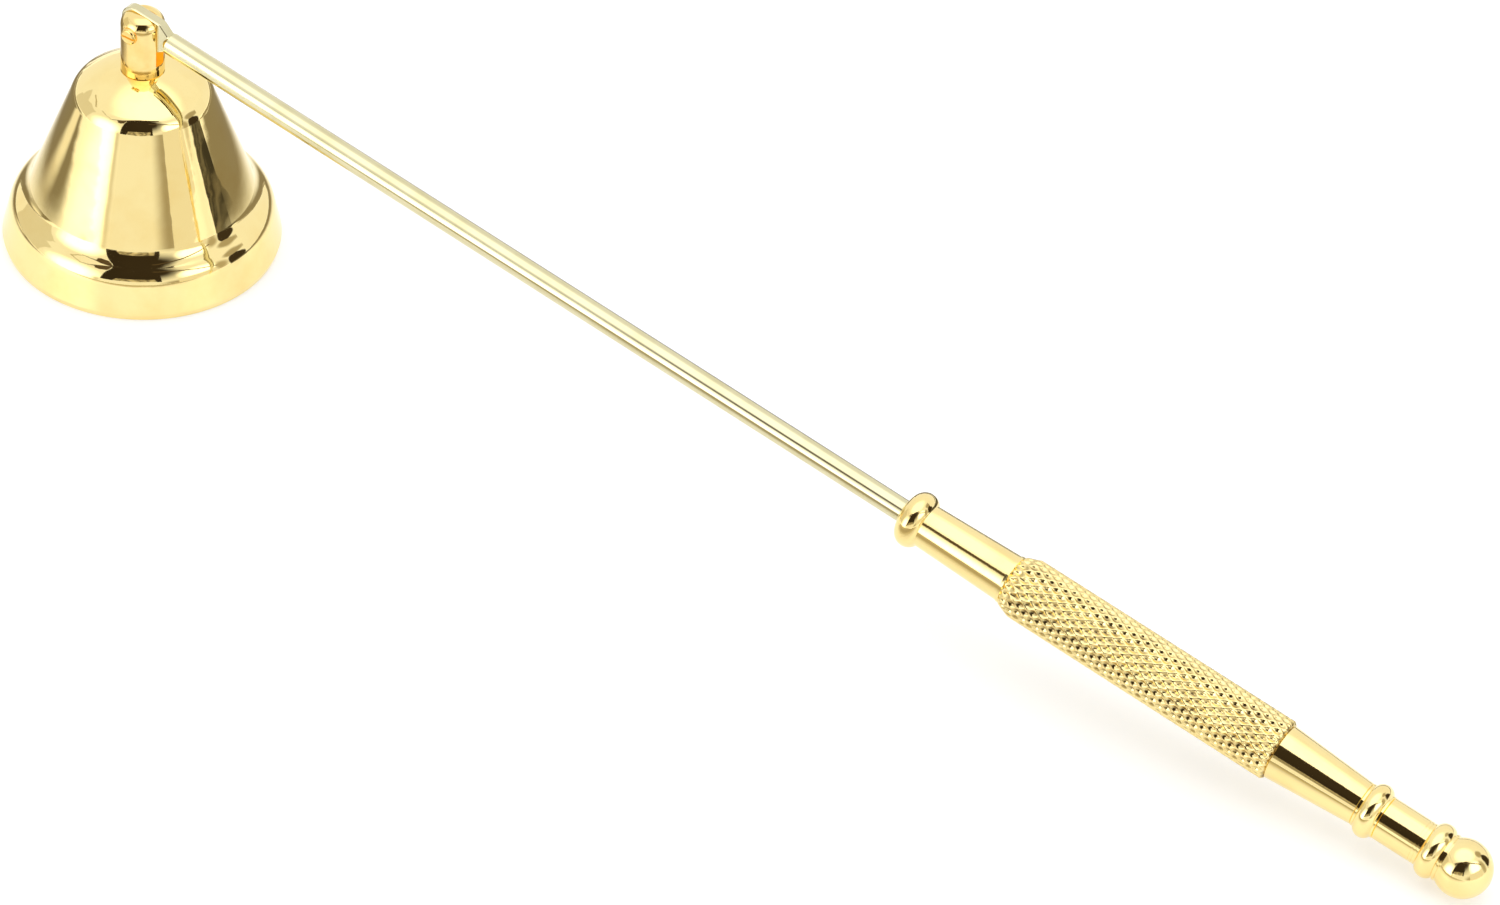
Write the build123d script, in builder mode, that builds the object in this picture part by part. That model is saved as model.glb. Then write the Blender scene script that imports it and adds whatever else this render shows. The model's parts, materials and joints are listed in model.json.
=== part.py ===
from build123d import *
from math import acos, asin, atan2, cos, degrees, radians, sin, sqrt
import os

os.makedirs("parts", exist_ok=True)

# Candle snuffer standing on its bell mouth, handle end resting on the same table.
# Origin: centre of the bell mouth. +Z up, the handle runs out along +X, the pin lies along Y.

# Fits and seams
running_clearance = 0.05
locating_clearance = 0.03
eye_side_clearance = 0.10
seam_chamfer = 0.15
cut_overrun = 1.0

# Bell: slopes are measured up from the table, in degrees
bell_radius = 20.0
bell_widest_height = 0.93
bell_mouth_inset = 0.2
bell_band_slope = 77.1
bell_band_height = 5.2
bell_round_radius = 4.1
bell_cove_slope = 38.0
bell_cove_radius = 4.85
bell_shoulder_radius = 4.1
bell_crown_slope = 37.3
bell_crown_radius = 14.4
bell_seat_radius = 3.2
bell_height = 29.75
bell_wall = 1.2
bell_crown_wall = 1.4
bell_rim_fillet = 0.25

# Clevis post on the bell's crown, with a spigot that centres it in the bell
post_radius = 3.12
spigot_radius = 2.25
spigot_depth_in_bell = 1.0
slot_floor_above_bell = 1.9
slot_floor_gap = 2.7
post_top_fillet = 2.0

# Hinge pin, a slotted shoulder screw along Y
pin_radius = 0.8
pin_head_radius = 1.22
pin_head_height = 0.8
pin_head_fillet = 0.35
pin_head_seat_depth = 0.35
pin_slot_width = 0.35
pin_slot_depth = 0.35
pin_end_inset = 0.5

# Screw and washer inside the bell
screw_radius = 1.25
screw_length = 2.9
screw_head_radius = 2.4
screw_head_height = 1.7
screw_head_fillet = 0.6
screw_slot_width = 0.6
screw_slot_depth = 0.8
screw_hole_spare = 0.25
washer_radius = 3.6
washer_thickness = 0.5
washer_seat_clearance = 0.05

# Rod, flattened to an eye at the pin
eye_half_width = 2.65
eye_back_reach = 3.3
eye_front_reach = 3.1
eye_corner_radius = 2.0
eye_thickness = 1.5
eye_proud_of_post = 0.25
eye_edge_fillet = 0.2
eye_neck_half_width = 1.45
eye_neck_start = 4.7
eye_neck_end = 6.2
eye_neck_fillet = 1.0
rod_radius = 1.6
rod_start_beyond_post = 1.15
rod_start_chamfer = 0.7
tie_radius = 1.25
tie_end_chamfer = 0.3

# Handle pieces threaded on the rod, in order from the bell
ferrule_start = 129.95
ferrule_ring_front_radius = 2.3
ferrule_ring_face = 0.1
ferrule_ring_peak_offset = 2.15
ferrule_ring_radius = 4.0
ferrule_ring_length = 3.6
ferrule_neck_radius = 3.03
ferrule_neck_length = 13.85
ferrule_end_radius = 3.5
ferrule_lip_length = 0.55
ferrule_lip_height = 0.12
ferrule_stop_depth = 4.0
grip_radius = 4.36
grip_length = 42.0
grip_front_radius = 3.65
grip_front_taper = 1.9
grip_rear_chamfer = 0.35
tail_front_radius = 3.9
tail_end_radius = 3.06
tail_length = 12.8
bead_length = 3.2
bead_step_length = 0.3
bead_base_radius = 3.12
bead_radius = 3.9
barrel_radius = 3.05
barrel_length = 6.5
barrel_groove_length = 0.2
barrel_groove_depth = 0.12
barrel_groove_pitch = 0.5
barrel_grooves = 2
end_ring_front_radius = 3.1
end_ring_peak_offset = 1.5
end_ring_radius = 3.93
end_ring_length = 2.65
end_ring_back_radius = 3.35
finial_groove_length = 0.2
finial_groove_radius = 3.15
finial_ridge_length = 0.3
finial_ridge_radius = 3.42
ball_radius = 4.0
ball_neck_radius = 3.35
tie_depth_in_finial = 3.4
tie_hole_spare = 0.6

# Heights in the stack above the bell
slot_floor = bell_height + slot_floor_above_bell
hinge_height = slot_floor + slot_floor_gap + eye_half_width
post_top = hinge_height + eye_half_width - eye_proud_of_post
spigot_bottom = bell_height - spigot_depth_in_bell
crown_underside = bell_height - bell_crown_wall
washer_underside = crown_underside - washer_thickness
screw_top = washer_underside + screw_length

# Places along the rod, measured from the pin
grip_start = ferrule_start + ferrule_ring_length + ferrule_neck_length
tail_start = grip_start + grip_length
bead_start = tail_start + tail_length
barrel_start = bead_start + bead_length
finial_start = barrel_start + barrel_length
finial_ridge_start = end_ring_length + finial_groove_length
finial_ridge_end = finial_ridge_start + finial_ridge_length
ball_start = finial_start + finial_ridge_end + finial_groove_length
ball_place = ball_start + sqrt(ball_radius**2 - ball_neck_radius**2)
rod_start = post_radius + rod_start_beyond_post
tie_start = ferrule_start + ferrule_stop_depth
tie_end = finial_start + tie_depth_in_finial

# The handle slopes down until the ball at its end meets the plane of the bell mouth
rest_slope = asin((hinge_height - ball_radius) / ball_place)
rod_direction = Vector(cos(rest_slope), 0, -sin(rest_slope))
pin_centre = Vector(0, 0, hinge_height)
rod_axis = Axis(pin_centre, rod_direction)


def along_rod(distance):
    """Plane through the rod's axis: x runs along the rod from the given distance, y is radius."""
    return Plane(origin=pin_centre + rod_direction * distance, x_dir=rod_direction, z_dir=(0, -1, 0))


rod_side = along_rod(0)
rod_bore = rod_radius + locating_clearance
tie_bore = tie_radius + locating_clearance


def slope_direction(slope):
    """Direction of an outline that climbs inwards, towards the bell's axis, at the given slope."""
    return Vector(-cos(radians(slope)), sin(radians(slope)))


def slope_normal(slope):
    """Outward direction of the same outline."""
    return Vector(sin(radians(slope)), cos(radians(slope)))


# Arc centres of the bell. The cone is the straight line that meets cove and shoulder smoothly.
bell_widest = Vector(bell_radius, bell_widest_height)
band_direction = slope_direction(bell_band_slope)
band_top = bell_widest + band_direction * (
    (bell_band_height - bell_widest_height) / band_direction.Y
)
round_centre = band_top - slope_normal(bell_band_slope) * bell_round_radius
cove_centre = round_centre + slope_normal(bell_cove_slope) * (bell_round_radius + bell_cove_radius)
crown_centre = Vector(0, bell_height - sqrt(bell_crown_radius**2 - bell_seat_radius**2))
shoulder_centre = crown_centre + slope_normal(bell_crown_slope) * (
    bell_crown_radius - bell_shoulder_radius
)
cove_to_shoulder = shoulder_centre - cove_centre
cone_slope = degrees(
    atan2(cove_to_shoulder.Y, -cove_to_shoulder.X)
    + asin((bell_cove_radius + bell_shoulder_radius) / cove_to_shoulder.length)
)


def bell_outline(inset, bottom, top):
    """Half outline of the bell, drawn from the mouth up and set in from the outside by a wall.
    The crown ends in a flat at the height given as its top."""
    band_inset = slope_normal(bell_band_slope) * inset
    rounding = JernArc(
        band_top - band_inset,
        band_direction,
        bell_round_radius - inset,
        bell_band_slope - bell_cove_slope,
    )
    cove = JernArc(rounding @ 1, rounding % 1, bell_cove_radius + inset, bell_cove_slope - cone_slope)
    shoulder_foot = shoulder_centre + slope_normal(cone_slope) * (bell_shoulder_radius - inset)
    Line(cove @ 1, shoulder_foot)
    shoulder = JernArc(
        shoulder_foot,
        slope_direction(cone_slope),
        bell_shoulder_radius - inset,
        cone_slope - bell_crown_slope,
    )
    flat_slope = degrees(acos((top - crown_centre.Y) / (bell_crown_radius - inset)))
    crown = JernArc(
        shoulder @ 1,
        slope_direction(bell_crown_slope),
        bell_crown_radius - inset,
        bell_crown_slope - flat_slope,
    )
    Polyline(crown @ 1, (0, top), (0, bottom))
    return bell_widest - band_inset, band_top - band_inset


# Bell: domed crown with a flat for the post, shoulder, cone, cove, rounding and rim band
with BuildPart() as bell:
    with BuildSketch(Plane.XZ):
        with BuildLine():
            widest, rounding_start = bell_outline(0, 0, bell_height)
            Polyline(rounding_start, widest, (bell_radius - bell_mouth_inset, 0), (0, 0))
        make_face()
    revolve(axis=Axis.Z)
    with BuildSketch(Plane.XZ):
        with BuildLine():
            widest, rounding_start = bell_outline(bell_wall, -cut_overrun, crown_underside)
            inner_mouth = widest - band_direction * ((widest.Y + cut_overrun) / band_direction.Y)
            Polyline(rounding_start, inner_mouth, (0, -cut_overrun))
        make_face()
    revolve(axis=Axis.Z, mode=Mode.SUBTRACT)
    with BuildSketch(Plane.XY.offset(crown_underside)):
        Circle(washer_radius + washer_seat_clearance)
    extrude(amount=-washer_thickness, mode=Mode.SUBTRACT)
    with BuildSketch(Plane.XY.offset(bell_height)):
        Circle(spigot_radius + locating_clearance)
    extrude(amount=-(bell_crown_wall + cut_overrun), mode=Mode.SUBTRACT)
    mouth_edges = bell.edges().filter_by(GeomType.CIRCLE).group_by(Axis.Z)[0]
    fillet(mouth_edges, radius=bell_rim_fillet)
bell.part.label = "bell"
export_step(bell.part, "parts/bell.step")

# Clevis post: round bar with a domed top, slotted along X for the eye
slot_half_width = eye_thickness / 2 + eye_side_clearance
with BuildPart() as clevis_post:
    with BuildSketch(Plane.XY.offset(bell_height)):
        Circle(post_radius)
    extrude(amount=post_top - bell_height)
    fillet(clevis_post.edges().group_by(Axis.Z)[-1], radius=post_top_fillet)
    chamfer(clevis_post.edges().group_by(Axis.Z)[0], length=seam_chamfer)
    with BuildSketch(Plane.XY.offset(spigot_bottom)):
        Circle(spigot_radius)
    extrude(amount=bell_height - spigot_bottom)
    with BuildSketch(Plane.XY.offset(slot_floor)):
        Rectangle(2 * (post_radius + cut_overrun), 2 * slot_half_width)
    extrude(amount=post_top - slot_floor + cut_overrun, mode=Mode.SUBTRACT)
    with BuildSketch(Plane.XY.offset(spigot_bottom)):
        Circle(screw_radius + locating_clearance)
    extrude(amount=screw_top + screw_hole_spare - spigot_bottom, mode=Mode.SUBTRACT)
    with BuildSketch(Plane.XZ.offset(-(post_radius + cut_overrun))):
        with Locations((0, hinge_height)):
            Circle(pin_radius + locating_clearance)
    extrude(amount=2 * (post_radius + cut_overrun), mode=Mode.SUBTRACT)
    with BuildSketch(Plane.XZ.offset(post_radius - pin_head_seat_depth)):
        with Locations((0, hinge_height)):
            Circle(pin_head_radius + running_clearance)
    extrude(amount=cut_overrun, mode=Mode.SUBTRACT)
clevis_post.part.label = "clevis_post"
export_step(clevis_post.part, "parts/clevis_post.step")

# Washer under the crown of the bell
with BuildPart() as bell_washer:
    with BuildSketch(Plane.XY.offset(washer_underside)):
        Circle(washer_radius)
        Circle(screw_radius + locating_clearance, mode=Mode.SUBTRACT)
    extrude(amount=washer_thickness)
bell_washer.part.label = "bell_washer"
export_step(bell_washer.part, "parts/bell_washer.step")

# Slotted pan-head screw, up through the washer and the bell into the post
with BuildPart() as bell_screw:
    with BuildSketch(Plane.XY.offset(washer_underside - screw_head_height)):
        Circle(screw_head_radius)
    extrude(amount=screw_head_height)
    fillet(bell_screw.edges().group_by(Axis.Z)[0], radius=screw_head_fillet)
    with BuildSketch(Plane.XY.offset(washer_underside)):
        Circle(screw_radius)
    extrude(amount=screw_length)
    chamfer(bell_screw.edges().group_by(Axis.Z)[-1], length=seam_chamfer)
    with BuildSketch(Plane.XY.offset(washer_underside - screw_head_height)):
        Rectangle(2 * screw_head_radius, screw_slot_width)
    extrude(amount=screw_slot_depth, mode=Mode.SUBTRACT)
bell_screw.part.label = "bell_screw"
export_step(bell_screw.part, "parts/bell_screw.step")

# Hinge pin: slotted round head in the front ear, shank through the eye into the rear ear
pin_head_seat = post_radius - pin_head_seat_depth
with BuildPart() as hinge_pin:
    with BuildSketch(Plane.XZ.offset(pin_head_seat)):
        with Locations((0, hinge_height)):
            Circle(pin_head_radius)
    extrude(amount=pin_head_height)
    fillet(hinge_pin.edges().group_by(Axis.Y)[0], radius=pin_head_fillet)
    with BuildSketch(Plane.XZ.offset(pin_head_seat)):
        with Locations((0, hinge_height)):
            Circle(pin_radius)
    extrude(amount=-(pin_head_seat + post_radius - pin_end_inset))
    chamfer(hinge_pin.edges().group_by(Axis.Y)[-1], length=seam_chamfer)
    with BuildSketch(Plane.XZ.offset(pin_head_seat + pin_head_height)):
        with Locations((0, hinge_height)):
            Rectangle(2 * pin_head_radius, pin_slot_width)
    extrude(amount=-pin_slot_depth, mode=Mode.SUBTRACT)
hinge_pin.part.label = "hinge_pin"
export_step(hinge_pin.part, "parts/hinge_pin.step")

# Rod: flat eye blending into the round rod, turned down inside the handle as a tie
with BuildPart() as rod:
    with BuildSketch(rod_side) as eye_outline:
        with BuildLine():
            Polyline(
                (-eye_back_reach, -eye_half_width),
                (eye_front_reach, -eye_half_width),
                (eye_neck_start, -eye_neck_half_width),
                (eye_neck_end, -eye_neck_half_width),
                (eye_neck_end, eye_neck_half_width),
                (eye_neck_start, eye_neck_half_width),
                (eye_front_reach, eye_half_width),
                (-eye_back_reach, eye_half_width),
                close=True,
            )
        make_face()
        corners = eye_outline.vertices().group_by(Axis.X)
        fillet(corners[0], radius=eye_corner_radius)
        shoulders = eye_outline.vertices().sort_by(Axis.X)
        fillet(shoulders[4:6], radius=eye_neck_fillet)
    extrude(amount=eye_thickness / 2, both=True)
    fillet(rod.faces().filter_by(Axis.Y).edges(), radius=eye_edge_fillet)
    with BuildSketch(rod_side):
        with BuildLine():
            Polyline(
                (rod_start, 0),
                (rod_start, rod_radius - rod_start_chamfer),
                (rod_start + rod_start_chamfer, rod_radius),
                (tie_start, rod_radius),
                (tie_start, tie_radius),
                (tie_end - tie_end_chamfer, tie_radius),
                (tie_end, tie_radius - tie_end_chamfer),
                (tie_end, 0),
                close=True,
            )
        make_face()
    revolve(axis=rod_axis)
    with BuildSketch(rod_side):
        Circle(pin_radius + running_clearance)
    extrude(amount=eye_thickness, both=True, mode=Mode.SUBTRACT)
rod.part.label = "rod"
export_step(rod.part, "parts/rod.step")


# Ferrule: bead-shaped front ring and a neck that opens to a small lip.
# It slides on from the rear until its stepped bore meets the step of the rod.
with BuildPart() as handle_ferrule:
    neck_start = ferrule_ring_length
    ferrule_end = ferrule_ring_length + ferrule_neck_length
    with BuildSketch(along_rod(ferrule_start)):
        with BuildLine():
            Polyline(
                (0, rod_bore),
                (0, ferrule_ring_front_radius - ferrule_ring_face),
                (ferrule_ring_face, ferrule_ring_front_radius),
            )
            ThreePointArc(
                (ferrule_ring_face, ferrule_ring_front_radius),
                (ferrule_ring_peak_offset, ferrule_ring_radius),
                (neck_start, ferrule_neck_radius),
            )
            Polyline(
                (neck_start, ferrule_neck_radius),
                (ferrule_end - ferrule_lip_length, ferrule_end_radius - ferrule_lip_height),
                (ferrule_end - ferrule_lip_length, ferrule_end_radius),
                (ferrule_end - seam_chamfer, ferrule_end_radius),
                (ferrule_end, ferrule_end_radius - seam_chamfer),
                (ferrule_end, tie_bore),
                (ferrule_stop_depth, tie_bore),
                (ferrule_stop_depth, rod_bore),
                (0, rod_bore),
            )
        make_face()
    revolve(axis=rod_axis)
handle_ferrule.part.label = "handle_ferrule"
export_step(handle_ferrule.part, "parts/handle_ferrule.step")

# Grip sleeve: straight grip with a tapered front end and a small rear chamfer
with BuildPart() as grip_sleeve:
    with BuildSketch(along_rod(grip_start)):
        with BuildLine():
            Polyline(
                (0, tie_bore),
                (0, grip_front_radius - seam_chamfer),
                (seam_chamfer, grip_front_radius),
                (grip_front_taper, grip_radius),
                (grip_length - grip_rear_chamfer, grip_radius),
                (grip_length, grip_radius - grip_rear_chamfer),
                (grip_length, tie_bore),
                close=True,
            )
        make_face()
    revolve(axis=rod_axis)
grip_sleeve.part.label = "grip_sleeve"
export_step(grip_sleeve.part, "parts/grip_sleeve.step")

# Tail: the long taper behind the grip
with BuildPart() as handle_tail:
    with BuildSketch(along_rod(tail_start)):
        with BuildLine():
            Polyline(
                (0, tie_bore),
                (0, tail_front_radius - seam_chamfer),
                (seam_chamfer, tail_front_radius),
                (tail_length - seam_chamfer, tail_end_radius),
                (tail_length, tail_end_radius - seam_chamfer),
                (tail_length, tie_bore),
                close=True,
            )
        make_face()
    revolve(axis=rod_axis)
handle_tail.part.label = "handle_tail"
export_step(handle_tail.part, "parts/handle_tail.step")

# Bead: rounded ring between two narrow steps
with BuildPart() as tail_bead:
    with BuildSketch(along_rod(bead_start)):
        with BuildLine():
            Polyline((0, tie_bore), (0, bead_base_radius), (bead_step_length, bead_base_radius))
            ThreePointArc(
                (bead_step_length, bead_base_radius),
                (bead_length / 2, bead_radius),
                (bead_length - bead_step_length, bead_base_radius),
            )
            Polyline(
                (bead_length - bead_step_length, bead_base_radius),
                (bead_length, bead_base_radius),
                (bead_length, tie_bore),
                (0, tie_bore),
            )
        make_face()
    revolve(axis=rod_axis)
tail_bead.part.label = "tail_bead"
export_step(tail_bead.part, "parts/tail_bead.step")

# Barrel: plain, with two fine grooves at its rear end
with BuildPart() as tail_barrel:
    groove_floor = barrel_radius - barrel_groove_depth
    with BuildSketch(along_rod(barrel_start)):
        with BuildLine():
            Polyline(
                (0, tie_bore),
                (0, barrel_radius - seam_chamfer),
                (seam_chamfer, barrel_radius),
                (barrel_length, barrel_radius),
                (barrel_length, tie_bore),
                close=True,
            )
        make_face()
        for groove in range(barrel_grooves):
            groove_start = barrel_length - (groove + 1) * barrel_groove_pitch
            with BuildLine(mode=Mode.PRIVATE) as groove_line:
                Polyline(
                    (groove_start, groove_floor),
                    (groove_start, barrel_radius + cut_overrun),
                    (groove_start + barrel_groove_length, barrel_radius + cut_overrun),
                    (groove_start + barrel_groove_length, groove_floor),
                    close=True,
                )
            make_face(groove_line.edges(), mode=Mode.SUBTRACT)
    revolve(axis=rod_axis)
tail_barrel.part.label = "tail_barrel"
export_step(tail_barrel.part, "parts/tail_barrel.step")

# Finial: rounded ring, fine stepped neck and the ball that ends the handle.
# It screws on the end of the tie and clamps the stack against the step of the rod.
with BuildPart() as end_finial:
    ball_neck = ball_start - finial_start
    ball_centre = ball_place - finial_start
    ball_end = ball_centre + ball_radius
    tie_hole_end = tie_depth_in_finial + tie_hole_spare
    with BuildSketch(along_rod(finial_start)):
        with BuildLine():
            Line((0, tie_bore), (0, end_ring_front_radius))
            ThreePointArc(
                (0, end_ring_front_radius),
                (end_ring_peak_offset, end_ring_radius),
                (end_ring_length, end_ring_back_radius),
            )
            Polyline(
                (end_ring_length, end_ring_back_radius),
                (end_ring_length, finial_groove_radius),
                (finial_ridge_start, finial_groove_radius),
                (finial_ridge_start, finial_ridge_radius),
                (finial_ridge_end, finial_ridge_radius),
                (finial_ridge_end, finial_groove_radius),
                (ball_neck, finial_groove_radius),
                (ball_neck, ball_neck_radius),
            )
            RadiusArc((ball_neck, ball_neck_radius), (ball_end, 0), ball_radius)
            Polyline((ball_end, 0), (tie_hole_end, 0), (tie_hole_end, tie_bore), (0, tie_bore))
        make_face()
    revolve(axis=rod_axis)
end_finial.part.label = "end_finial"
export_step(end_finial.part, "parts/end_finial.step")
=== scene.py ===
import json
from math import cos, pi, radians, sin

import bmesh
import bpy
import numpy as np
from mathutils import Matrix, Vector


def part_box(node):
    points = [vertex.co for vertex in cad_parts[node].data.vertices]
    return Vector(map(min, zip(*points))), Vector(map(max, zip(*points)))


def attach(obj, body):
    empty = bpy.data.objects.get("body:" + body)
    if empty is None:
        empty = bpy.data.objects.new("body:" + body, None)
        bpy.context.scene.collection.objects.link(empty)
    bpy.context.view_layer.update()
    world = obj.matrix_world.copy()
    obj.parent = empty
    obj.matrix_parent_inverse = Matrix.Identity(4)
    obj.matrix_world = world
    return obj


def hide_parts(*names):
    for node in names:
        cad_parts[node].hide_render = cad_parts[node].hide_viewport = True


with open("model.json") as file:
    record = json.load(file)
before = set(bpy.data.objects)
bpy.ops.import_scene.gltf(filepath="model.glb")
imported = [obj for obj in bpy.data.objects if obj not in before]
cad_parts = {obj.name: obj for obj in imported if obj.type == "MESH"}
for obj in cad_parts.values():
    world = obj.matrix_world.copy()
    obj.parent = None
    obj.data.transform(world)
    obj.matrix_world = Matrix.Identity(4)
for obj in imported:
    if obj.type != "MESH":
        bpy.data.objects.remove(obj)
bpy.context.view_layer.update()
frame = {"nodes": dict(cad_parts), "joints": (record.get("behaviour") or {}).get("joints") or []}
nodes = frame["nodes"]
mm = 0.001

# Camera, standing where the photograph was taken from
camera_place = Vector((0.3685, -0.4653, 0.4773))
camera_heading = radians(119.62)
camera_pitch = radians(40.85)
camera_roll = radians(5.83)
camera_sensor = 36.0
camera_lens = 125.8

# Studio. Directions are seen from the bell: azimuth 0 is towards the camera and grows to
# its right, elevation is above the table, distances are in metres.
camera_azimuth = 38.4
studio_centre = Vector((0, 0, 0.02))
room_level = 1.0
dark_tint = (1.0, 0.72, 0.45)
tan_tint = (1.0, 0.88, 0.66)
warm_tint = (1.0, 0.96, 0.88)
shade_height = 0.0004
floor_size = 6.0
floor_tone = 0.60
floor_glow = 0.48
floor_roughness = 0.3
floor_sheen = 0.1
ceiling_front = 0.435
frame_top = 0.80

# Handle, along the rod from the hinge pin
ball_radius = 4.0 * mm
tie_bore = 1.28 * mm
knurl_radius = 4.36 * mm
knurl_front_radius = 3.65 * mm
knurl_front_taper = 1.9 * mm
knurl_rear_chamfer = 0.35 * mm
knurl_depth = 0.36 * mm
knurls_around = 22
knurl_pitches = 19.5
knurl_samples = 12

# Finishes
gold_tone = (0.98, 0.80, 0.37, 1)
deeper_gold_tone = (0.95, 0.74, 0.31, 1)
rod_gold_tone = (0.73, 0.67, 0.42, 1)
deeper_rod_gold_tone = (0.67, 0.60, 0.34, 1)
hinge_gold_tone = (0.88, 0.57, 0.15, 1)
# Painted shade at the bottom of the knurled hollows
painted_hollow_shade_tone = (0.17, 0.105, 0.04, 1)
steel_tone = (0.62, 0.61, 0.59, 1)
dull_steel_tone = (0.50, 0.49, 0.47, 1)
cloud_scale = 170.0
# Patches and depth share of the painted shade in the knurled hollows
hollow_shade_patch_scale = 320.0
hollow_shade_share = 0.35
# Painted glow: gold seen after this many mirrorings glows with a painted light of this strength
# and tone
painted_glow_mirrorings = 2.5
painted_deep_glow = 0.55
painted_deep_glow_tone = (1.0, 0.85, 0.55, 1)

pin_centre = Vector(frame["joints"][0]["pos_m"])
finial_low, finial_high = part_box("end_finial")
ball_centre = Vector((finial_high.x - ball_radius, 0, finial_low.z + ball_radius))
rod_direction = (ball_centre - pin_centre).normalized()
rod_side = Vector((0, 1, 0))
rod_frame = Matrix.Translation(pin_centre) @ Matrix(
    (rod_direction, rod_side, rod_direction.cross(rod_side))
).transposed().to_4x4()


def span_along_rod(node):
    """Where a handle piece starts and ends along the rod, measured from the pin."""
    places = [(v.co - pin_centre).dot(rod_direction) for v in nodes[node].data.vertices]
    return min(places), max(places)


# Camera, floor and lights


def stand_camera():
    """Camera over the right front of the bell, looking down along the handle."""
    look = Vector((
        cos(camera_pitch) * cos(camera_heading),
        cos(camera_pitch) * sin(camera_heading),
        -sin(camera_pitch),
    ))
    level = look.cross(Vector((0, 0, 1))).normalized()
    up = level.cross(look)
    right = level * cos(camera_roll) + up * sin(camera_roll)
    head = up * cos(camera_roll) - level * sin(camera_roll)
    data = bpy.data.cameras.new("camera")
    data.sensor_width = camera_sensor
    data.lens = camera_lens
    data.clip_start = 0.01
    data.clip_end = 20
    camera = bpy.data.objects.new("camera", data)
    turn = Matrix((right, head, -look)).transposed().to_4x4()
    camera.matrix_world = Matrix.Translation(camera_place) @ turn
    bpy.context.scene.collection.objects.link(camera)
    bpy.context.scene.camera = camera


def new_material(name):
    """A material with its Principled BSDF, and the tree that they stand in."""
    material = bpy.data.materials.new(name)
    material.use_nodes = True
    return material, material.node_tree, material.node_tree.nodes["Principled BSDF"]


def light_room():
    """Plain studio: white behind the object, even and soft round it."""
    world = bpy.data.worlds.new("studio")
    world.use_nodes = True
    tree = world.node_tree
    background = tree.nodes["Background"]
    background.inputs["Strength"].default_value = room_level
    background.inputs["Color"].default_value = (1, 1, 1, 1)
    bpy.context.scene.world = world


def flat_panel(name, corners):
    """One flat face in its own plane, centred on its origin."""
    data = bpy.data.meshes.new(name)
    data.from_pydata([(x, y, 0) for x, y in corners], [], [tuple(range(len(corners)))])
    panel = bpy.data.objects.new(name, data)
    bpy.context.scene.collection.objects.link(panel)
    return panel


def lay_floor():
    """White table that keeps the object's shadow."""
    half = floor_size / 2
    floor = flat_panel("floor", [(-half, -half), (half, -half), (half, half), (-half, half)])
    material, tree, base = new_material("white_table")
    base.inputs["Base Color"].default_value = (floor_tone, floor_tone, floor_tone, 1)
    base.inputs["Roughness"].default_value = floor_roughness
    base.inputs["Specular IOR Level"].default_value = floor_sheen
    base.inputs["Emission Color"].default_value = (1, 1, 1, 1)
    make = node_maker(tree)
    rays = make("ShaderNodeLightPath")
    seen = rays.outputs["Is Camera Ray"]
    for ray in ("Is Glossy Ray", "Is Transmission Ray"):
        seen = make("ShaderNodeMath", {0: seen, 1: rays.outputs[ray]}, operation="MAXIMUM")
        seen = seen.outputs["Value"]
    glow = make("ShaderNodeMath", {0: seen}, {1: floor_glow}, operation="MULTIPLY")
    tree.links.new(glow.outputs["Value"], base.inputs["Emission Strength"])
    floor.data.materials.append(material)


def studio_way(azimuth, elevation):
    """Direction from the bell towards a place in the studio."""
    a, e = radians(azimuth + camera_azimuth), radians(elevation)
    return Vector((sin(a) * cos(e), -cos(a) * cos(e), sin(e)))


def card_light(name, strength, tint, soft, half_size, patches=0.0):
    """Light of a card. soft is the share of its half size over which it fades out, patches
    are the blotches per metre of an uneven one."""
    material = bpy.data.materials.new(name)
    material.use_nodes = True
    tree = material.node_tree
    tree.nodes.clear()
    make = node_maker(tree)
    light = make("ShaderNodeEmission", values={"Color": (*tint, 1), "Strength": strength})
    surface = light.outputs["Emission"]
    place = make("ShaderNodeTexCoord").outputs["Object"]
    if patches:
        blotch = make("ShaderNodeTexNoise", {"Vector": place}, {"Scale": patches, "Detail": 3.0})
        level = make("ShaderNodeMapRange", {"Value": blotch.outputs["Fac"]},
                     {"From Min": 0.42, "From Max": 0.62, "To Min": strength * 0.4,
                      "To Max": strength * 1.6})
        tree.links.new(level.outputs["Result"], light.inputs["Strength"])
    if soft:
        scaled = make("ShaderNodeVectorMath", {0: place},
                      {1: (1 / half_size[0], 1 / half_size[1], 0)}, operation="MULTIPLY")
        length = make("ShaderNodeVectorMath", {0: scaled.outputs["Vector"]}, operation="LENGTH")
        fade = make("ShaderNodeMapRange", {"Value": length.outputs["Value"]},
                    {"From Min": 1.0 - soft, "From Max": 1.0, "To Min": 1.0, "To Max": 0.0},
                    interpolation_type="SMOOTHSTEP")
        clear = make("ShaderNodeBsdfTransparent")
        mixed = make("ShaderNodeMixShader", {"Fac": fade.outputs["Result"],
                                             1: clear.outputs["BSDF"], 2: surface})
        surface = mixed.outputs["Shader"]
    make("ShaderNodeOutputMaterial", {"Surface": surface})
    return material


def set_card(card, material):
    """A card shows in the metal and lights the room, but neither camera nor shadow meets it."""
    card.visible_camera = False
    card.visible_shadow = False
    card.data.materials.append(material)


def hang_card(name, azimuth, elevation, distance, width, height, strength, tint=(1, 1, 1),
              soft=0.0):
    """A card facing the bell."""
    way = studio_way(azimuth, elevation)
    x, y = width / 2, height / 2
    card = flat_panel(name, [(-x, -y), (x, -y), (x, y), (-x, y)])
    facing = way.to_track_quat("Z", "Y").to_matrix().to_4x4()
    card.matrix_world = Matrix.Translation(studio_centre + way * distance) @ facing
    set_card(card, card_light(name, strength, tint, soft, (x, y)))


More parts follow.
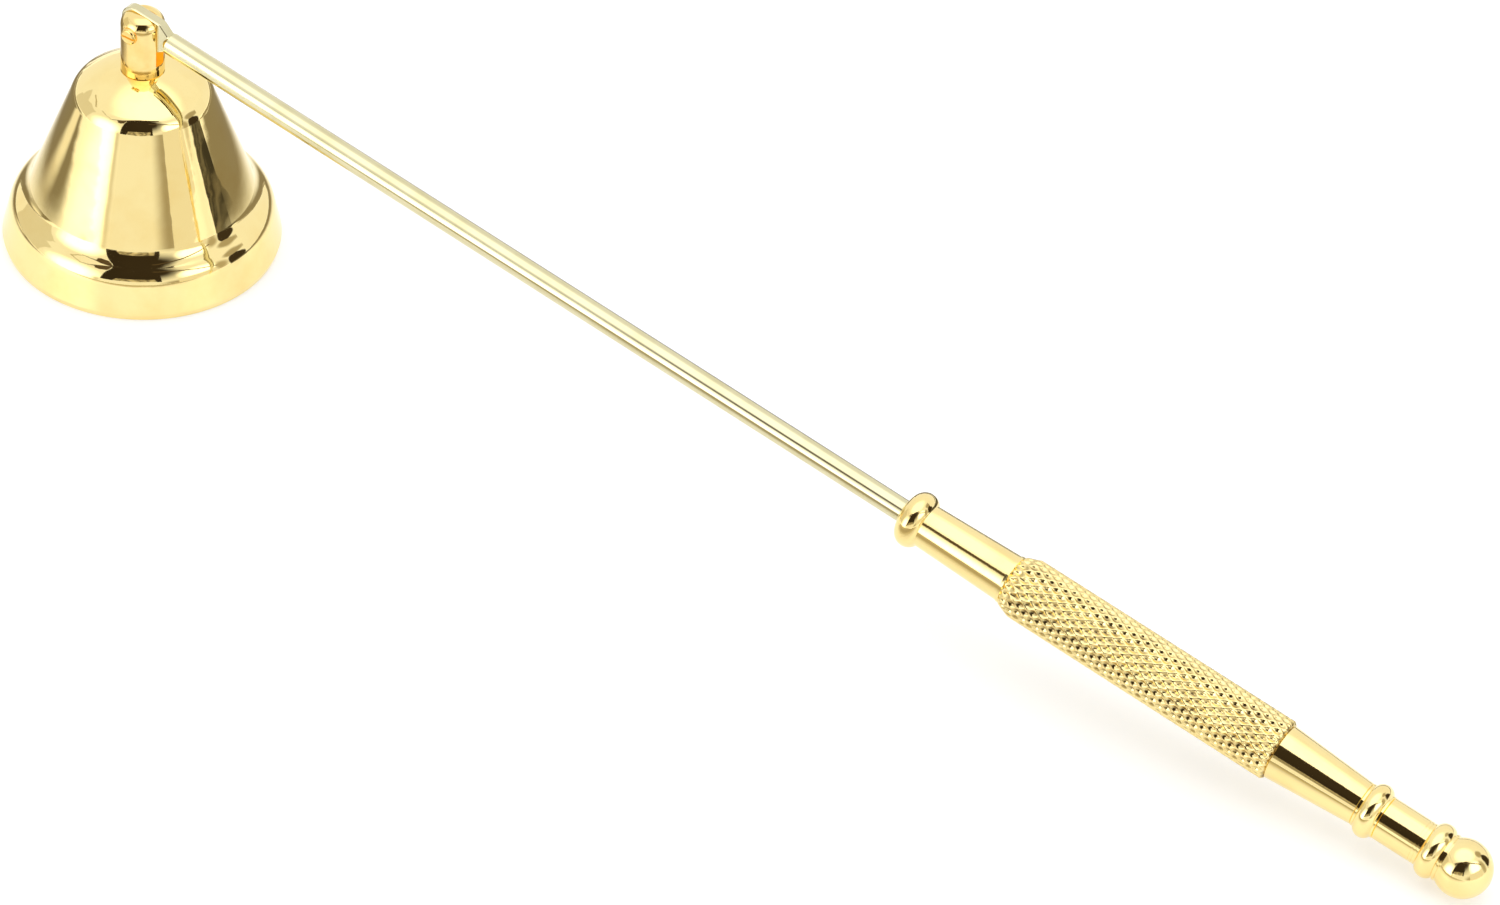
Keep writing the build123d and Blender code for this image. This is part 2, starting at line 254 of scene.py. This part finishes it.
def place_card(name, centre, across, along, corners, strength, tint, soft, reach, patches=0.0):
    """A card in the plane of two ways. Its centre is (right of the bell, towards the camera,
    up), and reach is the half size of its soft light."""
    card = flat_panel(name, corners)
    turn = Matrix((across, along, across.cross(along))).transposed().to_4x4()
    right, towards, up = centre
    place = studio_way(90, 0) * right + studio_way(0, 0) * towards + Vector((0, 0, up))
    card.matrix_world = Matrix.Translation(place) @ turn
    set_card(card, card_light(name, strength, tint, soft, reach, patches=patches))


def hang_ceiling(name, left, right, back, front, height, strength, centre=(0, 0), reach=(1, 1),
                 soft=0.0):
    """A level panel over the bell, its front edge square to the camera's heading."""
    x, y = centre
    corners = [(left - x, back - y), (right - x, back - y), (right - x, front - y),
               (left - x, front - y)]
    place_card(name, (x, y, height), studio_way(90, 0), studio_way(0, 0), corners, strength,
               (1, 1, 1), soft, reach)


def stand_card(name, towards, outline, strength, tint, centre=(0, 0), reach=(1, 1), soft=0.0,
               patches=0.0):
    """An upright card square to the camera's heading, its outline given as (right, up)."""
    x, y = centre
    place_card(name, (x, towards, y), studio_way(90, 0), Vector((0, 0, 1)),
               [(a - x, b - y) for a, b in outline], strength, tint, soft, reach, patches)


def stretch_dark_edge(name, start, end, start_width, end_width, strength, tint):
    """A narrow straight strip between two directions, each (azimuth, elevation, distance)."""
    points = []
    for (azimuth, elevation, distance), width in ((start, start_width), (end, end_width)):
        way = studio_way(azimuth, elevation)
        points.append((studio_centre + way * distance, width))
    along = (points[1][0] - points[0][0]).normalized()
    aside = along.cross(points[0][0] - studio_centre).normalized()
    corners = [points[0][0] - aside * points[0][1] / 2, points[1][0] - aside * points[1][1] / 2,
               points[1][0] + aside * points[1][1] / 2, points[0][0] + aside * points[0][1] / 2]
    data = bpy.data.meshes.new(name)
    data.from_pydata([tuple(corner) for corner in corners], [], [(0, 1, 2, 3)])
    strip = bpy.data.objects.new(name, data)
    bpy.context.scene.collection.objects.link(strip)
    set_card(strip, card_light(name, strength, tint, 0.0, (1, 1)))


def lay_shade(name, azimuth, near, far, width, strength, tint, soft=0.0, taper=1.0, patches=0.0,
              layer=1):
    """A card lying on the table, which only the metal sees. taper narrows its near end, and
    layer counts up from the table where cards lie on each other."""
    way = studio_way(azimuth, 0)
    wide, narrow, half = width / 2, width / 2 * taper, (far - near) / 2
    shade = flat_panel(name, [(-narrow, -half), (narrow, -half), (wide, half), (-wide, half)])
    turn = Matrix((way.cross(Vector((0, 0, 1))), way, Vector((0, 0, 1)))).transposed().to_4x4()
    middle = way * (near + far) / 2 + Vector((0, 0, shade_height * layer))
    shade.matrix_world = Matrix.Translation(middle) @ turn
    shade.visible_diffuse = False
    set_card(shade, card_light(name, strength, tint, soft, (wide, half), patches))


# Meshes


def link_mesh(name, points, faces, placed):
    """A smooth mesh object with its faces turned outwards."""
    data = bpy.data.meshes.new(name)
    data.from_pydata(points, [], faces)
    shape = bmesh.new()
    shape.from_mesh(data)
    bmesh.ops.recalc_face_normals(shape, faces=shape.faces)
    shape.to_mesh(data)
    shape.free()
    data.shade_smooth()
    piece = bpy.data.objects.new(name, data)
    piece.matrix_world = placed
    bpy.context.scene.collection.objects.link(piece)
    return piece


def make_knurled_grip():
    """Grip sleeve with a net of raised ridges round hollow diamonds over its whole length."""
    start, end = span_along_rod("grip_sleeve")
    length = end - start
    around = knurls_around * knurl_samples
    along = round(knurl_pitches * knurl_samples)
    x = np.linspace(0, length, along + 1)[:, None]
    turn = np.linspace(0, 2 * pi, around, endpoint=False)[None, :]
    one_way = turn * knurls_around / (2 * pi) + x / length * knurl_pitches
    other_way = turn * knurls_around / (2 * pi) - x / length * knurl_pitches
    dip = np.abs(np.sin(pi * one_way) * np.sin(pi * other_way))
    crest = np.minimum(knurl_radius, knurl_front_radius
                       + (knurl_radius - knurl_front_radius) * x / knurl_front_taper)
    crest = np.minimum(crest, knurl_radius - knurl_rear_chamfer + (length - x))
    radius = crest - knurl_depth * dip
    grid = np.stack(
        np.broadcast_arrays(start + x, radius * np.cos(turn), radius * np.sin(turn)), -1)
    points = grid.reshape(-1, 3).tolist()
    for place in (start, end):
        points += [(place, tie_bore * cos(a), tie_bore * sin(a)) for a in turn[0]]
    rows = list(range(along + 1))
    bore_start, bore_end = along + 1, along + 2
    loop = [bore_start, *rows, bore_end, bore_start]
    faces = []
    for near, far in zip(loop[:-1], loop[1:]):
        for i in range(around):
            j = (i + 1) % around
            corners = (near * around + i, near * around + j, far * around + j, far * around + i)
            if (near + i + 1) % knurl_samples == 0:
                faces += [(corners[0], corners[1], corners[3]),
                          (corners[1], corners[2], corners[3])]
            elif (i - near) % knurl_samples == 0:
                faces += [(corners[0], corners[1], corners[2]),
                          (corners[0], corners[2], corners[3])]
            else:
                faces.append(corners)
    grip = link_mesh("grip_knurled", points, faces, rod_frame)
    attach(grip, "handle")
    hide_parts("grip_sleeve")
    return grip


# Finishes


def shader_group(name, inputs, outputs):
    """An empty shader group with its sockets; inputs are (label, kind, starting value)."""
    group = bpy.data.node_groups.new(name, "ShaderNodeTree")
    for label, kind, start in inputs:
        socket = group.interface.new_socket(label, in_out="INPUT", socket_type=kind)
        if start is not None:
            socket.default_value = start
    for label, kind in outputs:
        group.interface.new_socket(label, in_out="OUTPUT", socket_type=kind)
    return group, group.nodes.new("NodeGroupInput"), group.nodes.new("NodeGroupOutput")


def node_maker(tree):
    """Short way to add a node, set its properties and constants, and link its inputs."""
    def make(kind, links=None, values=None, **settings):
        node = tree.nodes.new(kind)
        for key, value in settings.items():
            setattr(node, key, value)
        for socket, value in (values or {}).items():
            node.inputs[socket].default_value = value
        for socket, source in (links or {}).items():
            tree.links.new(source, node.inputs[socket])
        return node
    return make


def make_wave_group():
    """Gentle unevenness of a hand-polished and plated surface, as a height in metres."""
    group, given, result = shader_group(
        "hand_polished_waves",
        (("Place", "NodeSocketVector", None), ("Waves per metre", "NodeSocketFloat", 250.0),
         ("Wave height", "NodeSocketFloat", 0.00002)),
        (("Height", "NodeSocketFloat"),),
    )
    make = node_maker(group)
    broad = make("ShaderNodeTexNoise", {"Vector": given.outputs["Place"],
                                        "Scale": given.outputs["Waves per metre"]},
                 {"Detail": 1.5, "Roughness": 0.4})
    height = make("ShaderNodeMath", {0: broad.outputs["Fac"], 1: given.outputs["Wave height"]},
                  operation="MULTIPLY")
    group.links.new(height.outputs["Value"], result.inputs["Height"])
    return group


def make_tone_group():
    """Slight clouding of the gold plating: colour and roughness that drift over the surface."""
    group, given, result = shader_group(
        "plating_tone",
        (("Place", "NodeSocketVector", None), ("Gold", "NodeSocketColor", None),
         ("Deeper gold", "NodeSocketColor", None), ("Smooth", "NodeSocketFloat", 0.05),
         ("Cloudy", "NodeSocketFloat", 0.12)),
        (("Color", "NodeSocketColor"), ("Roughness", "NodeSocketFloat")),
    )
    make = node_maker(group)
    cloud = make("ShaderNodeTexNoise", {"Vector": given.outputs["Place"]},
                 {"Scale": cloud_scale, "Detail": 4.0, "Roughness": 0.55})
    share = make("ShaderNodeMapRange", {"Value": cloud.outputs["Fac"]},
                 {"From Min": 0.45, "From Max": 0.75})
    colour = make("ShaderNodeMix", {"Factor": share.outputs["Result"], 6: given.outputs["Gold"],
                                    7: given.outputs["Deeper gold"]}, data_type="RGBA")
    rough = make("ShaderNodeMapRange", {"Value": cloud.outputs["Fac"],
                                        "To Min": given.outputs["Smooth"],
                                        "To Max": given.outputs["Cloudy"]},
                 {"From Min": 0.3, "From Max": 0.8})
    group.links.new(colour.outputs[2], result.inputs["Color"])
    group.links.new(rough.outputs["Result"], result.inputs["Roughness"])
    return group


def make_turning_group():
    """Fine rings that a turning tool leaves round a piece, as a height in metres."""
    group, given, result = shader_group(
        "turning_rings",
        (("Place", "NodeSocketVector", None), ("Axis", "NodeSocketVector", None),
         ("Rings per metre", "NodeSocketFloat", 4000.0),
         ("Ring height", "NodeSocketFloat", 0.000002)),
        (("Height", "NodeSocketFloat"),),
    )
    make = node_maker(group)
    along = make("ShaderNodeVectorMath", {0: given.outputs["Place"], 1: given.outputs["Axis"]},
                 operation="DOT_PRODUCT")
    rings = make("ShaderNodeTexNoise", {"W": along.outputs["Value"],
                                        "Scale": given.outputs["Rings per metre"]},
                 {"Detail": 3.0, "Roughness": 0.6}, noise_dimensions="1D")
    height = make("ShaderNodeMath", {0: rings.outputs["Fac"], 1: given.outputs["Ring height"]},
                  operation="MULTIPLY")
    group.links.new(height.outputs["Value"], result.inputs["Height"])
    return group


wave_group = make_wave_group()
tone_group = make_tone_group()
turning_group = make_turning_group()


def metal_finish(name, smooth, cloudy, waves, wave_height, rings=0.0, ring_height=0.0,
                 axis=(0, 0, 1), tones=None):
    """Gold plating, or another metal by its two tones, with its own roughness, waves and turning
    rings, and a painted glow where gold mirrors gold many times over."""
    material, tree, base = new_material(name)
    make = node_maker(tree)
    base.inputs["Metallic"].default_value = 1
    place = make("ShaderNodeTexCoord").outputs["Object"]
    tone = make("ShaderNodeGroup", node_tree=tone_group)
    tree.links.new(place, tone.inputs["Place"])
    tone.inputs["Gold"].default_value, tone.inputs["Deeper gold"].default_value = (
        tones or (gold_tone, deeper_gold_tone))
    tone.inputs["Smooth"].default_value = smooth
    tone.inputs["Cloudy"].default_value = cloudy
    tree.links.new(tone.outputs["Color"], base.inputs["Base Color"])
    tree.links.new(tone.outputs["Roughness"], base.inputs["Roughness"])
    wave = make("ShaderNodeGroup", node_tree=wave_group)
    tree.links.new(place, wave.inputs["Place"])
    wave.inputs["Waves per metre"].default_value = waves
    wave.inputs["Wave height"].default_value = wave_height
    height = wave.outputs["Height"]
    if rings:
        ring = make("ShaderNodeGroup", node_tree=turning_group)
        tree.links.new(place, ring.inputs["Place"])
        ring.inputs["Axis"].default_value = axis
        ring.inputs["Rings per metre"].default_value = rings
        ring.inputs["Ring height"].default_value = ring_height
        height = make("ShaderNodeMath", {0: height, 1: ring.outputs["Height"]},
                      operation="ADD").outputs["Value"]
    bump = make("ShaderNodeBump", {"Height": height}, {"Strength": 1.0, "Distance": 1.0})
    tree.links.new(bump.outputs["Normal"], base.inputs["Normal"])
    # Painted glow: deep in the slot and under the post, where gold mirrors gold many times over,
    # the gold glows with a painted warm light
    rays = make("ShaderNodeLightPath")
    painted_glow_mask = make("ShaderNodeMath", {0: rays.outputs["Glossy Depth"]}, {1: painted_glow_mirrorings},
                operation="GREATER_THAN")
    glow = make("ShaderNodeMath", {0: painted_glow_mask.outputs["Value"]}, {1: painted_deep_glow}, operation="MULTIPLY")
    tree.links.new(glow.outputs["Value"], base.inputs["Emission Strength"])
    base.inputs["Emission Color"].default_value = painted_deep_glow_tone
    return material


def paint_shade_in_hollows(material):
    """Paints shade into the gold: brown at the bottom of the knurled hollows, not on the front
    taper.
    """
    tree = material.node_tree
    make = node_maker(tree)
    base = tree.nodes["Principled BSDF"]
    gold = base.inputs["Base Color"].links[0].from_socket
    place = make("ShaderNodeTexCoord").outputs["Object"]
    radius = make("ShaderNodeVectorMath", {0: place}, {1: (0, 1, 1)}, operation="MULTIPLY")
    length = make("ShaderNodeVectorMath", {0: radius.outputs["Vector"]}, operation="LENGTH")
    depth = make("ShaderNodeMapRange", {"Value": length.outputs["Value"]},
                 {"From Min": knurl_radius - knurl_depth,
                  "From Max": knurl_radius - knurl_depth * hollow_shade_share,
                  "To Min": 0.95, "To Max": 0.0})
    patch = make("ShaderNodeTexNoise", {"Vector": place}, {"Scale": hollow_shade_patch_scale, "Detail": 3.0})
    share = make("ShaderNodeMapRange", {"Value": patch.outputs["Fac"]},
                 {"From Min": 0.4, "From Max": 0.6, "To Min": 0.3, "To Max": 1.0})
    along = make("ShaderNodeSeparateXYZ", {"Vector": place})
    start = span_along_rod("grip_sleeve")[0]
    past_taper = make("ShaderNodeMapRange", {"Value": along.outputs["X"]},
                      {"From Min": start + knurl_front_taper * 0.4,
                       "From Max": start + knurl_front_taper * 1.2})
    part = make("ShaderNodeMath", {0: share.outputs["Result"], 1: past_taper.outputs["Result"]},
                operation="MULTIPLY")
    painted_shade_amount = make("ShaderNodeMath", {0: depth.outputs["Result"], 1: part.outputs["Value"]},
                  operation="MULTIPLY")
    colour = make("ShaderNodeMix", {"Factor": painted_shade_amount.outputs["Value"], 6: gold},
                  {7: painted_hollow_shade_tone}, data_type="RGBA")
    tree.links.new(colour.outputs[2], base.inputs["Base Color"])


stand_camera()
bpy.context.scene.view_settings.view_transform = "Standard"
light_room()
lay_floor()

# Over the bell: the white ceiling and the dark frame along its front and sides
hang_ceiling("ceiling_panel", -0.78, 1.30, -1.20, ceiling_front, 0.805, 1.02)
hang_ceiling("ceiling_soft_box", -0.60, 0.90, -0.55, ceiling_front, 0.80, 1.70,
             centre=(0.10, 0.08), reach=(0.70, 0.62), soft=0.55)
stand_card("ceiling_front_frame", ceiling_front - 0.001,
           [(-0.33, 0.725), (0.30, 0.74), (0.30, frame_top), (-0.33, frame_top)], 0.05, dark_tint)
stand_card("ceiling_left_frame", ceiling_front - 0.001,
           [(-0.78, 0.765), (-0.50, 0.735), (-0.43, 0.55), (-0.36, 0.49), (-0.29, 0.52),
            (-0.29, frame_top), (-0.78, frame_top)], 0.11, dark_tint)
stretch_dark_edge("ceiling_side_frame", (-61, 43, 1.09), (-120, 39, 1.1), 0.02, 0.02, 0.55,
                  tan_tint)
stretch_dark_edge("right_slanted_edge", (10, 50, 0.62), (62, 14, 0.42), 0.032, 0.012, 0.10,
                  dark_tint)

# In front: the dark card round the camera, on two legs, and the tan patch between them
stand_card("dark_camera_card", 0.44,
           [(-0.284, 0.088), (-0.19, 0.088), (-0.165, 0.175), (0.078, 0.175), (0.085, 0.088),
            (0.118, 0.088), (0.118, frame_top), (-0.284, frame_top)], 0.035, dark_tint)
stand_card("dark_fade_card", 0.43,
           [(-0.28, 0.12), (0.40, 0.12), (0.40, frame_top), (-0.28, frame_top)], 0.04, dark_tint,
           centre=(0.05, 0.52), reach=(0.33, 0.48), soft=0.6)
stand_card("tan_patch_card", 0.46, [(-0.20, 0.10), (0.10, 0.10), (0.10, 0.20), (-0.20, 0.20)],
           0.50, tan_tint, patches=22.0)

# Round the bell: soft boxes, walls and the dark strip at its right
hang_card("left_soft_box", -58, 10, 0.95, 1.05, 1.25, 2.9, soft=0.75)
hang_card("right_soft_box", 46, 22, 0.50, 0.34, 0.38, 2.5, soft=0.6)
hang_card("right_low_box", 44, 3, 0.49, 0.27, 0.16, 0.92, warm_tint)
hang_card("right_tan_card", 65, 10, 0.46, 0.12, 0.34, 0.5, tan_tint, soft=0.7)
hang_card("right_dark_card", 78.5, 4, 0.40, 0.115, 0.26, 0.05, dark_tint, soft=0.12)
hang_card("right_upper_tan_card", 82, 26, 0.41, 0.16, 0.16, 0.45, tan_tint, soft=0.4)
hang_card("left_wall", -108, 12, 1.20, 0.80, 1.0, 0.78, warm_tint)
hang_card("front_right_tan_card", 26, 1, 0.60, 0.36, 0.24, 0.42, tan_tint, soft=1.0)
hang_card("left_thin_tan_card", -36, 3, 0.80, 0.15, 0.35, 0.74, warm_tint, soft=1.0)

# On the table
# Painted shadow: a dark sheet where the bell's shadow falls on the table at its left rear, seen
# only in the metal
lay_shade("left_rear_painted_shadow", -128, 0.025, 0.17, 0.20, 0.27, tan_tint, 0.35, layer=2)
lay_shade("left_far_shade", -130, 0.12, 0.62, 0.42, 0.30, tan_tint, 0.3)
# Painted glint: a pale line of light on the table, seen only in the metal
lay_shade("left_rear_painted_glint", -107, 0.030, 0.20, 0.034, 1.0, warm_tint, 0.6, layer=3)
# Painted shadow: a dark sheet where the bell's shadow falls on the table at its right rear, seen
# only in the metal
lay_shade("right_rear_painted_shadow", 124, 0.025, 0.17, 0.19, 0.29, tan_tint, 0.35, layer=2)
lay_shade("right_far_shade", 124, 0.12, 0.62, 0.46, 0.33, tan_tint, 0.3)
lay_shade("front_table_shade", -6, 0.05, 0.36, 0.40, 0.58, tan_tint, 0.25)
lay_shade("front_right_shade", 21, 0.024, 0.40, 0.10, 0.45, tan_tint, 0.8, layer=2)
lay_shade("right_strip_shade", 78.5, 0.05, 0.41, 0.11, 0.13, tan_tint, 0.2, taper=0.25,
          patches=30.0, layer=3)

# The part: finishes, the knurled grip and a finish for every piece
polished = metal_finish("polished_gold", 0.03, 0.07, 330.0, 0.022 * mm)
turned = metal_finish("turned_gold", 0.05, 0.10, 500.0, 0.008 * mm, 1850.0, 0.0045 * mm,
                      rod_direction)
drawn = metal_finish("drawn_gold", 0.06, 0.12, 260.0, 0.01 * mm,
                     tones=(rod_gold_tone, deeper_rod_gold_tone))
hinged = metal_finish("hinge_gold", 0.03, 0.08, 420.0, 0.018 * mm, 1900.0, 0.0018 * mm,
                      tones=(deeper_gold_tone, hinge_gold_tone))
steel = metal_finish("fastener_steel", 0.22, 0.34, 900.0, 0.006 * mm, 5000.0, 0.002 * mm,
                     tones=(steel_tone, dull_steel_tone), axis=(1, 0, 0))
knurled = metal_finish("knurled_gold", 0.06, 0.12, 1500.0, 0.006 * mm)
# Painted shade in the knurled hollows
paint_shade_in_hollows(knurled)
finish_of = {
    "bell": polished, "clevis_post": hinged, "hinge_pin": hinged, "bell_washer": steel,
    "bell_screw": steel, "rod": drawn, "handle_ferrule": turned, "grip_sleeve": knurled,
    "handle_tail": turned, "tail_bead": turned, "tail_barrel": turned, "end_finial": turned,
}
grip = make_knurled_grip()
grip.data.materials.append(knurled)
for name, node in nodes.items():
    node.data.materials.clear()
    node.data.materials.append(finish_of[name])
